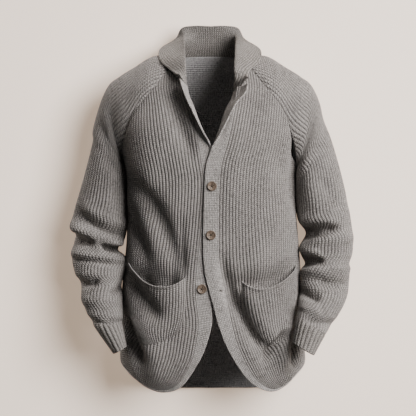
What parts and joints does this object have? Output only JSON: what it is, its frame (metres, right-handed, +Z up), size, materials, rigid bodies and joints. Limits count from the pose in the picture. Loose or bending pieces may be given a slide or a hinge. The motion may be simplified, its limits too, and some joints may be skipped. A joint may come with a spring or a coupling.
{
  "type": "knit blazer",
  "caption": "Ribbed knit blazer, filled out with no wearer: raglan sleeves, turned collar, narrow lapels, cutaway fronts, patch pockets and a buttoned front band.",
  "frame": {"origin": "centre of the wearer's neck at the height of the neck points of the shoulders, where the blazer is held up", "axes": "+Z up along the wearer, +X towards the wearer's left, the front faces -Y"},
  "size_m": [0.606, 0.2616, 0.805],
  "materials": {
    "body_knit": "heathered light grey wool in a chunky rib",
    "band_knit": "the same yarn knitted smooth",
    "collar_knit": "the same yarn in a finer rib",
    "button_horn": "mottled brown horn, satin"
  },
  "bodies": {
    "root": {"back": "body_knit", "front_left": "body_knit", "front_right": "body_knit", "sleeve_left": "body_knit", "sleeve_right": "body_knit", "cuff_left": "collar_knit", "cuff_right": "collar_knit", "collar": "collar_knit", "band_left": "band_knit", "band_right": "band_knit", "pocket_left": "body_knit", "pocket_right": "body_knit", "button_1": "button_horn", "button_2": "button_horn", "button_3": "button_horn"}
  },
  "joints": []
}
